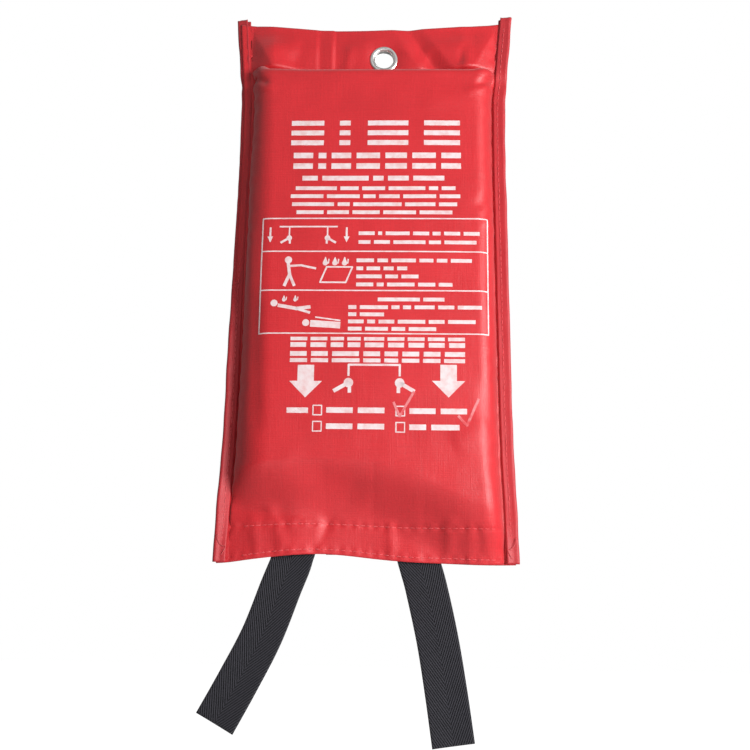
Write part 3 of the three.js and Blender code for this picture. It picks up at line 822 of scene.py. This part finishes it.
def eyelet_ring():
    """Barrel with a rolled flange in front and its end rolled over the washer behind."""
    bore, flange = 6.0, 9.5
    inside = [(bore + 0.15, 1.9), (bore, 1.2), (bore, 0.0), (bore + 0.05, -0.9), (bore + 0.35, -1.5)]
    centre, half = (bore + flange) / 2 + 0.35, (flange - bore) / 2 - 0.35
    bead = arc((centre, -1.45), (-half, -1.0), 0.3, math.pi, 18)
    under = [(flange - 0.12, -1.0), (flange - 0.8, -0.86), (bore + 0.75, -0.86)]
    outer = [(bore + 0.6, y) for y in np.linspace(-0.6, 1.6, 4)]
    tail = arc((bore + 1.2, 2.0), (0.75, 0.5), -1.2, math.pi, 12)
    turned("eyelet_ring", inside + bead + under + outer + tail, "eyelet")


def washer_ring():
    inner, outer, near, far = 7.0, 10.0, 1.08, 1.6
    rim = arc((outer - 0.25, (near + far) / 2), (0.25, 0.26), -1.4, 1.4, 8)
    inside = [(inner, far - 0.1), (inner, near + 0.05)]
    turned("eyelet_washer_ring", [(inner + 0.2, near)] + rim + inside, "eyelet_washer")


# ------------ the blanket
LEAF = 3.3
LEAF_PITCH = 3.6
FIRST_LEAF = -1.8
SHORT_LEAF_TOP = -213.0
LAYERS = 8
PANELS = 16


def settled(points):
    """Squeezes what lies in the pouch so that it stays under the front cloth's slope."""
    x, z = points[..., 0], points[..., 2]
    room = np.clip((front_depth(x, z) - 2.2) / (body_depth(z) - 2.2), 0.05, 1.0)
    result = points.copy()
    result[..., 1] = -0.3 + (points[..., 1] + 0.3) * room
    return result


def leaf_path():
    """Centre line of the zigzag in the y-z plane: a short leaf at the back, then four full ones."""
    bend = LEAF_PITCH / 2
    low = PACK_BOTTOM + bend + LEAF / 2
    high = PACK_TOP - 4.5 - bend - LEAF / 2
    path = [(FIRST_LEAF, SHORT_LEAF_TOP)]

    def slot(k):
        return FIRST_LEAF - k * LEAF_PITCH

    def turn(k, centre, way):
        for angle in np.linspace(0, math.pi, 9):
            path.append((slot(k) - bend + bend * math.cos(angle), centre + way * bend * math.sin(angle)))

    for k in (0, 2):
        turn(k, low, -1)
        path.extend([(slot(k + 1), SHORT_LEAF_TOP + 4), (slot(k), SHORT_LEAF_TOP + 16)])
        turn(k, high, 1)
        path.extend([(slot(k + 1), SHORT_LEAF_TOP + 16), (slot(k + 2), SHORT_LEAF_TOP + 4)])
    path.append((slot(4), PACK_BOTTOM + 0.5))
    return np.array(path)


def resample(path, step):
    """Points along a polyline, closer than step apart, keeping its corners."""
    result = [path[0]]
    for a, b in zip(path[:-1], path[1:]):
        count = max(1, int(math.ceil(np.linalg.norm(b - a) / step)))
        result.extend(a + (b - a) * (k / count) for k in range(1, count + 1))
    return np.array(result)


def folded_cloth():
    """The whole 1.2 m square of cloth: sixteen panels across, stacked in two, then zigzagged in leaves."""
    path = resample(leaf_path(), 7.0)
    tangent = np.gradient(path, axis=0)
    tangent /= np.linalg.norm(tangent, axis=1, keepdims=True)
    square = np.stack([-tangent[:, 1], tangent[:, 0]], 1)
    layer = (LEAF - 0.35) / (LAYERS - 1)
    across, height = [], []
    cells = 9
    rng = np.random.default_rng(4)
    for panel in range(PANELS):
        level = panel if panel < LAYERS else PANELS - 1 - panel
        inner = 0.6 + rng.uniform(0, 0.5)
        outer = PACK_HALF - 3.5 - rng.uniform(0, 1.8)
        start, end = (inner, outer) if panel % 2 == 0 else (outer, inner)
        side = -1 if panel < LAYERS else 1
        for k in range(cells + 1):
            across.append(side * (start + (end - start) * k / cells))
            height.append((LEAF - 0.35) / 2 - level * layer)
    across, height = np.array(across), np.array(height)
    grid = np.zeros((len(across), len(path), 3))
    drift = 0.8 * soft_noise(np.arange(len(path)), 0, 40, 9)
    grid[..., 0] = across[:, None] + drift * np.sign(across)[:, None] * 0.5
    grid[..., 1] = path[:, 0] + height[:, None] * square[:, 0]
    grid[..., 2] = path[:, 1] + height[:, None] * square[:, 1]
    edge = np.clip((np.abs(grid[..., 0]) - 58) / (PACK_HALF - 58), 0, 1)
    grid[..., 1] = -0.6 + (grid[..., 1] + 0.6) * (1 - 0.3 * edge**2)
    grid = settled(grid)
    columns, rows = grid.shape[:2]
    index = np.arange(columns * rows).reshape(columns, rows)
    faces = np.stack([index[:-1, :-1], index[1:, :-1], index[1:, 1:], index[:-1, 1:]], 2).reshape(-1, 4)
    uv = arc_uv(grid).reshape(-1, 2)
    piece = make_piece("folded_cloth", grid.reshape(-1, 3), faces, uv, GLASS, "blanket")
    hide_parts("folded_blanket")


# ------------ pull tapes
TAPE_WIDTH = 25.0
TAPE = 1.0
TAPE_HINGE = -333.0
SEWN_TOP = -240.0
SEWN_FACE = PACK_FRONT - 0.8
TAPES = {
    "left": {"x": -44.0, "way": -1, "route": [(-6.3, -345), (-17, -374), (-30.5, -401), (-43, -424)]},
    "right": {"x": 32.0, "way": 1, "route": [(5.0, -345), (11.5, -374), (16.6, -404), (21, -434)]},
}


def smooth_route(points, step):
    """A Catmull-Rom curve through the points, sampled about every step."""
    points = np.array(points, float)
    ends = np.concatenate([[2 * points[0] - points[1]], points, [2 * points[-1] - points[-2]]])
    result = []
    for a, b, c, d in zip(ends[:-3], ends[1:-2], ends[2:-1], ends[3:]):
        count = max(2, int(np.linalg.norm(c - b) / step))
        for k in range(count):
            t = k / count
            point = 2 * b + (c - a) * t + (2 * a - 5 * b + 4 * c - d) * t**2 + (3 * b - a - 3 * c + d) * t**3
            result.append(point / 2)
    result.append(points[-1])
    return np.array(result)


def pull_tape(side):
    """One length of webbing: sewn on the front leaf, round its end, out of the mouth and down."""
    x, way = TAPES[side]["x"], TAPES[side]["way"]
    inside = [
        (x, SEWN_FACE, SEWN_TOP), (x, SEWN_FACE, -262), (x, SEWN_FACE, PACK_BOTTOM - 1.2),
        (x - way, -14.5, -299), (x - 2.4 * way, -8.2, -305), (x - 3.0 * way, -3.4, -311),
        (x - 2.5 * way, -1.6, -318), (x - 0.2 * way, -1.3, -327),
    ]
    outside = [(x + dx, -1.3 - 1.2 * math.sin(n * 0.9), z) for n, (dx, z) in enumerate(TAPES[side]["route"])]
    route = smooth_route(inside + [(x + way * 1.6, -1.2, TAPE_HINGE)] + outside, 1.6)[::-1]
    tangent = np.gradient(route, axis=0)
    flat = tangent[:, [0, 2]]
    flat /= np.maximum(np.linalg.norm(flat, axis=1, keepdims=True), 1e-9)
    shares = np.linspace(-0.5, 0.5, 15)
    grid = np.zeros((len(shares), len(route), 3))
    for i, share in enumerate(shares):
        wobble = 0.25 * soft_noise(route[:, 2], share * 4, 40, 51)
        reach = share * (TAPE_WIDTH + wobble)
        grid[i, :, 0] = route[:, 0] + flat[:, 1] * reach
        grid[i, :, 2] = route[:, 2] - flat[:, 0] * reach
        cup = 0.35 * (2 * share) ** 2
        grid[i, :, 1] = route[:, 1] - (cup + 0.3 * soft_noise(route[:, 2], share * 30, 55, 52))
    above = grid[..., 2] > TAPE_HINGE + 6
    grid = np.where(above[..., None], settled(grid), grid)
    points, faces, uv = thick_sheet(grid, TAPE)
    material = herringbone(f"{side}_webbing", TAPE_WIDTH)
    piece = make_piece(f"{side}_tape_webbing", points, faces, uv, material, None)
    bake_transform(piece)
    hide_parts(f"{side}_tape_sewn_end", f"{side}_pull_tape")


def box_stitches(side):
    """A sewn box with both diagonals, holding the tape on the blanket."""
    x = TAPES[side]["x"]
    left, right, low, high = x - 9.5, x + 9.5, -284.0, -244.0
    box = [(left, low), (right, low), (right, high), (left, high)]
    corners = box + [(left, low), (right, high), (left, high), (right, low)]
    route = settled(resample(np.array([(u, SEWN_FACE - TAPE / 2, v) for u, v in corners]), 1.0))
    stitch_row(f"{side}_box_stitches", route, FORWARDS, [f"{side}_box_stitch"], on_blanket=True)


def blanket_hem_stitches():
    x = np.linspace(-28, 16, 120)
    route = np.stack([x, np.full_like(x, PACK_FRONT), np.full_like(x, PACK_BOTTOM + 5)], 1)
    stitch_row("blanket_hem_stitches", settled(route), FORWARDS, ["blanket_hem_thread"], on_blanket=True)


# ------------ the printed front
class Print:
    """Collects flat figures and lays them on the front cloth as one thin layer of ink."""

    def __init__(self):
        self.points = []
        self.faces = []

    def patch(self, corners):
        """A four-sided figure, cut into cells small enough to follow the cloth."""
        a, b, c, d = (np.array(p, float) for p in corners)
        across = max(1, int(math.ceil(max(np.linalg.norm(b - a), np.linalg.norm(c - d)) / 1.2)))
        up = max(1, int(math.ceil(max(np.linalg.norm(d - a), np.linalg.norm(c - b)) / 1.2)))
        first = len(self.points)
        for i in range(across + 1):
            for j in range(up + 1):
                s, t = i / across, j / up
                self.points.append((a * (1 - s) + b * s) * (1 - t) + (d * (1 - s) + c * s) * t)
        for i in range(across):
            for j in range(up):
                n = first + i * (up + 1) + j
                self.faces.append((n, n + up + 1, n + up + 2, n + 1))

    def bar(self, x0, x1, z0, z1):
        self.patch([(x0, z0), (x1, z0), (x1, z1), (x0, z1)])

    def stroke(self, route, width):
        """A line of the given width through the points, with square joints."""
        route = [np.array(p, float) for p in route]
        for a, b in zip(route[:-1], route[1:]):
            along = (b - a) / np.linalg.norm(b - a)
            side = np.array([along[1], -along[0]]) * width / 2
            a, b = a - along * width * 0.3, b + along * width * 0.3
            self.patch([a - side, a + side, b + side, b - side])

    def frame(self, x0, x1, z0, z1, width):
        self.stroke([(x0, z0), (x1, z0), (x1, z1), (x0, z1), (x0, z0)], width)

    def disc(self, x, z, radius):
        """A filled round, as a ring of four-sided cells round a square."""
        sides = 16
        for k in range(0, sides, 2):
            angles = [2 * math.pi * (k + m) / sides for m in range(3)]
            rim = [(x + radius * math.cos(t), z + radius * math.sin(t)) for t in angles]
            self.patch([(x, z), rim[0], rim[1], rim[2]])

    def arrow_down(self, x, top, tip, shaft, head, neck):
        self.bar(x - shaft / 2, x + shaft / 2, neck, top)
        self.patch([(x - head / 2, neck), (x, tip), (x + head / 2, neck), (x, neck)])

    def words(self, x0, x1, z0, z1, shares):
        """A line of plain bars in place of words, their lengths in the given shares."""
        gap = (z1 - z0) * 0.9
        room = x1 - x0 - gap * (len(shares) - 1)
        x = x0
        for share in shares:
            width = room * share / sum(shares)
            self.bar(x, x + width, z0, z1)
            x += width + gap

    def lay(self, name, material, lift):
        flat = np.array(self.points)
        x, z = flat[:, 0], flat[:, 1]
        points = np.stack([x, front_y(x, z) - lift, z], 1)
        make_piece(name, points, self.faces, flat, material, "pouch")


def heading_blocks(ink):
    """Two rows of striped blocks where the pouch has its heading."""
    for x0, x1 in ((-51, -30), (-20, -13), (-2, 24), (34, 57)):
        for z0, z1 in ((-54.6, -51.2), (-61.4, -58.0), (-68.2, -64.8)):
            ink.bar(x0, x1, z0, z1)
    ink.words(-49, 57.5, -77.2, -73.4, (10, 4, 10, 12, 11, 12, 10))
    ink.words(-49, 57.5, -84.4, -80.6, (10, 4, 10, 12, 11, 12, 10))


def small_lines(ink):
    ink.words(-43, 47, -92.4, -89.2, (3, 9, 2, 4, 6))
    for row, (x0, x1, shares) in enumerate((
        (-47, 54, (9, 4, 5, 8, 2, 3)),
        (-50, 57, (8, 8, 3, 5, 8, 5)),
        (-49, 55, (7, 2, 8, 5, 3)),
        (-46, 52, (5, 4, 5, 6, 6)),
    )):
        top = -96.4 - row * 5.4
        ink.words(x0, x1, top - 2.5, top, shares)


FRAME = {"left": -67.0, "right": 74.0, "top": -118.0, "bottom": -192.7, "line": 0.8}
DIVIDERS = (-139.8, -165.2)


def instruction_frame(ink):
    left, right, top, bottom = (FRAME[key] for key in ("left", "right", "top", "bottom"))
    ink.frame(left, right, bottom, top, FRAME["line"])
    for z in DIVIDERS:
        ink.stroke([(left, z), (right, z)], FRAME["line"])
    rows = (
        (-6.5, 69, -127.8, (4, 1, 6, 4, 2, 4, 4)),
        (-6.5, 67, -133.6, (3, 4, 8, 3, 8)),
        (-7.5, 64, -145.6, (5, 3, 7, 4, 3, 6)),
        (-7.5, 24, -150.8, (2, 4, 3, 3)),
        (-7.5, 31, -156.0, (6, 3, 4)),
        (-7.5, 52, -161.2, (5, 2, 8, 5, 4)),
        (6, 47, -170.8, (8, 4)),
        (-12, 70, -175.8, (2, 7, 2, 2, 5, 4, 6)),
        (-12, 10, -180.4, (2, 6)),
        (-12, 66, -185.0, (4, 2, 4, 7, 4, 7)),
        (-12, 42, -189.6, (3, 5, 3, 6)),
    )
    for x0, x1, z, shares in rows:
        ink.words(x0, x1, z - 1.3, z + 1.1, shares)


def flame(ink, x, z, size):
    """A plain flame: two leaning strokes that meet in a point, on a round base."""
    ink.disc(x, z + size * 0.28, size * 0.3)
    foot = z + size * 0.3
    tip = z + size
    ink.patch([(x - size * 0.3, foot), (x + size * 0.3, foot), (x + size * 0.05, tip), (x, tip)])
    ink.stroke([(x + size * 0.36, z + size * 0.25), (x + size * 0.42, z + size * 0.72)], size * 0.14)


def simple_hand(ink, x, z, size, way):
    """A plain closed hand: a round palm with a straight wrist to one side."""
    ink.disc(x, z, size * 0.42)
    ink.stroke([(x, z), (x + way * size * 1.2, z - size * 0.7)], size * 0.34)
    ink.stroke([(x - way * size * 0.1, z), (x - way * size * 0.1, z - size * 0.8)], size * 0.3)


def pictograms(ink):
    """The frame's three pictures, in plain shapes: pull the tapes, cover the fire, roll in the blanket."""
    ink.stroke([(-56, -123.5), (-20, -123.5)], 1.0)
    for x, way in ((-50, -1), (-26, 1)):
        ink.stroke([(x, -123.5), (x, -129)], 0.9)
        simple_hand(ink, x, -131, 4.2, way)
    ink.arrow_down(-62, -124, -134, 1.2, 3.6, -130)
    ink.arrow_down(-14, -124, -134, 1.2, 3.6, -130)
    ink.stroke([(-30, -160), (-14, -160), (-10, -150), (-26, -150), (-30, -160)], 1.0)
    for x in (-27, -21, -15):
        flame(ink, x, -149, 5.5)
    ink.disc(-50, -145.5, 2.3)
    ink.stroke([(-50, -148), (-49, -155), (-52, -162)], 2.0)
    ink.stroke([(-49, -155), (-46, -162)], 1.8)
    ink.stroke([(-50, -149.5), (-42, -149), (-33, -151)], 1.4)
    ink.disc(-58, -173.5, 2.2)
    ink.stroke([(-55, -175), (-44, -177), (-36, -176)], 2.2)
    ink.stroke([(-44, -177), (-36, -179.5)], 1.6)
    for x in (-52, -45):
        flame(ink, x, -172.5, 4.0)
    ink.disc(-38, -186, 2.2)
    ink.stroke([(-34, -186.5), (-18, -187.5)], 4.2)
    ink.stroke([(-32, -182.5), (-17, -184.5)], 0.9)


def release_picture(ink):
    """Below the frame: two rows of blocks, big arrows and the picture of the pulled tapes."""
    upper = (5, 5, 4, 4, 6, 5, 5, 5, 5)
    lower = (5, 5, 8, 5, 4, 5, 5, 6)
    for low, high, shares in (
        (-201.4, -198.4, upper), (-207.0, -204.0, lower), (-210.9, -208.4, lower), (-197.2, -195.0, upper),
    ):
        ink.words(-47, 59.5, low, high, shares)
    ink.arrow_down(-37, -212.6, -232.8, 10, 20, -222.6)
    ink.arrow_down(49.5, -212.0, -232.2, 10, 20, -222.0)
    ink.stroke([(-11, -219), (-11, -212.4), (20, -212.4), (20, -219)], 1.3)
    for x, way in ((-11, -1), (20, 1)):
        simple_hand(ink, x, -223.5, 7.0, way)


def size_boxes(ink):
    """Four tick boxes with plain bars beside them."""
    ink.words(-48, -35, -242.3, -239.0, (1,))
    for x, z, x1, shares in (
        (-32, -243.4, 11, (5, 5)), (18, -243.6, 60.5, (5, 5)),
        (-32, -253.2, 11, (5, 5)), (18, -253.4, 56, (3, 5)),
    ):
        ink.frame(x, x + 5.2, z, z + 5.8, 0.7)
        ink.words(x + 8, x1, z + 1.3, z + 4.7, shares)


def printed_layer():
    ink = Print()
    for draw in (heading_blocks, small_lines, instruction_frame, pictograms, release_picture, size_boxes):
        draw(ink)
    ink.lay("white_print_layer", INK, 0.09)


def pen_ticks():
    """Two faint ticks of a light pen over the size boxes."""
    chalk = Print()
    chalk.stroke([(16.5, -235.5), (20.2, -244.0), (28.5, -229.0)], 1.5)
    chalk.stroke([(55.5, -243.5), (60.5, -249.0), (67.5, -233.0)], 1.6)
    chalk.lay("pen_tick_marks", CHALK, 0.13)


# ------------ patches
def patch_piece(name, node):
    """A hook or loop patch: a thin pad with softened edges and a slightly uneven face."""
    low, high = box_mm(node)
    u = np.linspace(low[0] - CENTRE + 0.3, high[0] - CENTRE - 0.3, 40)
    v = np.linspace(low[2] + 0.3, high[2] - 0.3, 18)
    x, z = np.meshgrid(u, v, indexing="ij")
    rim = np.minimum.reduce([x - u[0], u[-1] - x, z - v[0], v[-1] - z])
    y = (low[1] + high[1]) / 2 + 0.1 * soft_noise(x, z, 4, 61) * smooth(rim)
    if node == "hook_patch":
        y = -0.9 - (front_depth(x, z) - HEM_DEPTH) * 0.8
    grid = np.stack([x, y, z], 2)
    points, faces, uv = thick_sheet(grid, 0.5)
    piece = make_piece(name, points, faces, uv, PATCH, "pouch")
    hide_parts(node)


# ------------ stage, lights and camera
EYE = np.array([26.4, -614.6, -339.0])  # the camera, in pouch millimetres
LOOK_UP = math.radians(11.45)
LOOK_LEFT = math.radians(2.06)
ROLL = math.radians(0.825)
FIELD = math.radians(41.04)
FLOOR = -900.0
LIGHT_TARGET = (0, 0, -160)
AMBIENT = 0.1  # the surroundings' light on the object; seen directly they are white
SHINE = 0.18  # what reflections gain on it


def camera():
    level = math.cos(LOOK_UP)
    forward = Vector((-math.sin(LOOK_LEFT) * level, math.cos(LOOK_LEFT) * level, math.sin(LOOK_UP)))
    right = forward.cross(Vector((0, 0, 1))).normalized()
    up = right.cross(forward)
    rolled_right = right * math.cos(ROLL) + up * math.sin(ROLL)
    rolled_up = up * math.cos(ROLL) - right * math.sin(ROLL)
    data = bpy.data.cameras.new("camera")
    data.angle = FIELD
    data.clip_start = 0.01
    view = bpy.data.objects.new("camera", data)
    turn = Matrix((rolled_right, rolled_up, -forward)).transposed()
    place = (Vector(EYE) + Vector((CENTRE, 0, 0))) * MM
    view.matrix_world = Matrix.Translation(place) @ turn.to_4x4()
    bpy.context.scene.collection.objects.link(view)
    bpy.context.scene.camera = view


def area_light(name, place, size, power):
    data = bpy.data.lights.new(name, "AREA")
    data.shape = "DISK"
    data.size = size * MM
    data.energy = power
    lamp = bpy.data.objects.new(name, data)
    where = Vector(place) * MM
    aim = Vector(LIGHT_TARGET) * MM - where
    lamp.matrix_world = Matrix.Translation(where) @ aim.to_track_quat("-Z", "Y").to_matrix().to_4x4()
    bpy.context.scene.collection.objects.link(lamp)


def studio():
    area_light("key", (840, -780, -150), 500, 18.5)
    area_light("fill", (-300, -1100, 500), 900, 0.9)
    area_light("low", (-60, -900, -760), 900, 2.9)
    area_light("rear", (300, 900, 300), 900, 6)
    world = bpy.data.worlds.new("studio")
    bpy.context.scene.world = world
    world.use_nodes = True
    tree = world.node_tree
    background = tree.nodes["Background"]
    background.inputs[0].default_value = (1, 1, 1, 1)
    ray = tree.nodes.new("ShaderNodeLightPath")
    level = tree.nodes.new("ShaderNodeMapRange")
    level.inputs["To Min"].default_value = AMBIENT
    tree.links.new(ray.outputs["Is Camera Ray"], level.inputs["Value"])
    shine = tree.nodes.new("ShaderNodeMath")
    shine.operation = "MULTIPLY_ADD"
    shine.inputs[1].default_value = SHINE
    tree.links.new(ray.outputs["Is Glossy Ray"], shine.inputs[0])
    tree.links.new(level.outputs[0], shine.inputs[2])
    tree.links.new(shine.outputs[0], background.inputs[1])
    bpy.context.scene.view_settings.view_transform = "Standard"


def floor():
    """A plain pale floor far below the hanging pouch."""
    nodes = Nodes("pale_floor")
    grain = nodes.noise(nodes.place(), 40.0, 2.0)
    nodes.link(nodes.ramp(grain, [(0.0, (0.5, 0.5, 0.5)), (1.0, (0.54, 0.54, 0.54))]), "Base Color")
    seen = nodes.add("ShaderNodeLightPath").outputs["Is Camera Ray"]
    nodes.link(seen, "Emission Strength")
    nodes.set(Roughness=0.9, Emission_Color=(1, 1, 1, 1))
    size = 6000
    points = [(-size, -size, FLOOR), (size, -size, FLOOR), (size, size, FLOOR), (-size, size, FLOOR)]
    plane = make_piece("pale_floor", points, [(0, 1, 2, 3)], None, nodes.material, None)


# ------------ putting it together
front_cloth()
back_cloth()
binding("left_side_binding_cloth", -1)
binding("right_side_binding_cloth", 1)
seam_stitches("left_seam_stitches", -1)
seam_stitches("right_seam_stitches", 1)
hem_stitches("upper_hem_stitches", HEM_LINE, "upper_hem_thread")
hem_stitches("lower_hem_stitches", MOUTH + 3, "lower_hem_thread")
back_hem_stitches()
eyelet_ring()
washer_ring()
folded_cloth()
blanket_hem_stitches()
for hand in ("left", "right"):
    pull_tape(hand)
    box_stitches(hand)
patch_piece("hook_pad", "hook_patch")
patch_piece("loop_pad", "loop_patch")
printed_layer()
pen_ticks()
floor()
studio()
camera()
